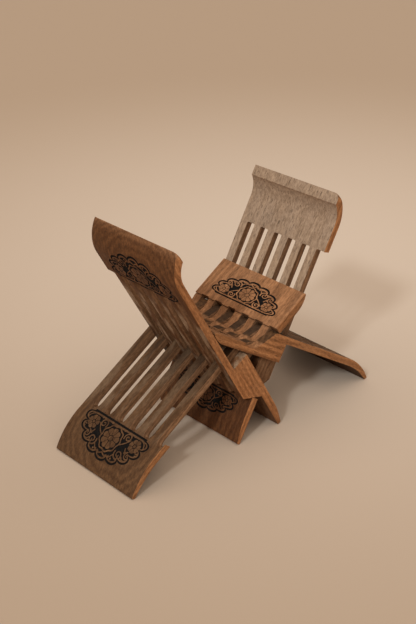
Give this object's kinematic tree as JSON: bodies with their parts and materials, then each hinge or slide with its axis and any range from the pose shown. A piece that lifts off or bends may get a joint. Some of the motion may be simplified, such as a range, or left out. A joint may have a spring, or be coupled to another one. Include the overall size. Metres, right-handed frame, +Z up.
{
  "type": "folding quran stand",
  "caption": "Folding wooden book stand of interlocked comb boards: tall rests and splayed legs cross without pins, open into a V-shaped cradle and fold flat into a plank.",
  "frame": {"origin": "on the floor under the middle of the opened stand", "axes": "+Z up, +X from the left leg's foot to the right leg's foot, +Y along the finger hinges, across the boards' width"},
  "size_m": [0.4264, 0.15, 0.2958],
  "materials": {
    "carved_hardwood": "hand-sawn and sanded hardwood with a worn oil finish, fine dark grain and knife-cut ornament"
  },
  "bodies": {
    "left_leg": {"leg_board_left": "carved_hardwood"},
    "right_leg": {"leg_board_right": "carved_hardwood"},
    "left_rest": {"rest_board_left": "carved_hardwood"},
    "right_rest": {"rest_board_right": "carved_hardwood"}
  },
  "joints": [
    {"name": "leg_fold", "type": "hinge", "parent": "left_leg", "child": "right_leg", "pos_m": [0, 0, 0.12775], "axis": [0, 1, 0], "range_deg": [0, 115.6]},
    {"name": "left_crossing", "type": "hinge", "parent": "left_leg", "child": "left_rest", "pos_m": [-0.07848, 0, 0.12243], "axis": [0, 1, 0], "range_deg": [0, 87.6]},
    {"name": "rest_fold", "type": "hinge", "parent": "left_rest", "child": "right_rest", "pos_m": [0, 0, 0.0605], "axis": [0, -1, 0], "range_deg": [0, 59.6]}
  ],
  "couplings": [
    {"joint": "left_crossing", "follows": "leg_fold", "ratio": 0.75778},
    {"joint": "rest_fold", "follows": "leg_fold", "ratio": 0.51557}
  ]
}
